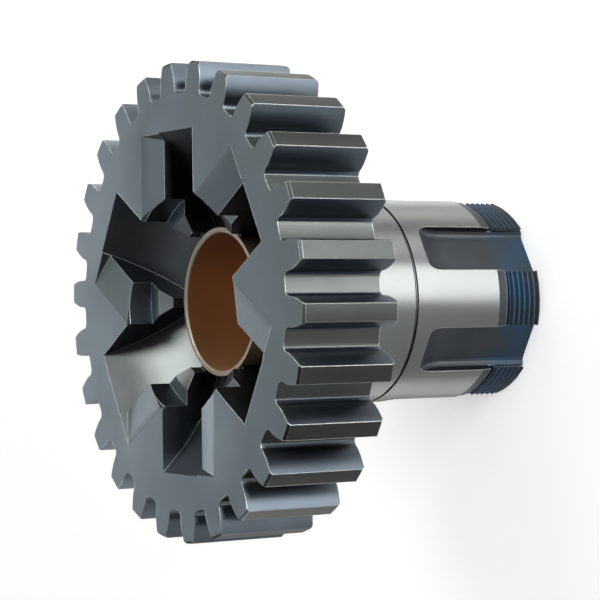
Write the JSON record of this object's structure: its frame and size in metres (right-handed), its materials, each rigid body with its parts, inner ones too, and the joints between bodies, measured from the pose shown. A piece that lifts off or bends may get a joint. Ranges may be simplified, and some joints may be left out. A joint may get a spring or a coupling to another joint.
{
  "type": "transmission gear",
  "caption": "Spur gear on a hollow shaft with a ground journal, spline slots and a threaded end, a star of drive dogs cut in its front face and a bronze bush in its bore.",
  "frame": {"origin": "on the gear's axis, in the plane of the threaded end that the part stands on", "axes": "+Z along the axis from the threaded end to the gear's front face, +X through the middle of one dog"},
  "size_m": [0.0888, 0.0888, 0.0698],
  "materials": {
    "gear_steel": "machined and ground",
    "bush_bronze": "bored"
  },
  "bodies": {
    "root": {"drive_gear": "gear_steel", "bronze_bush": "bush_bronze"}
  },
  "joints": []
}
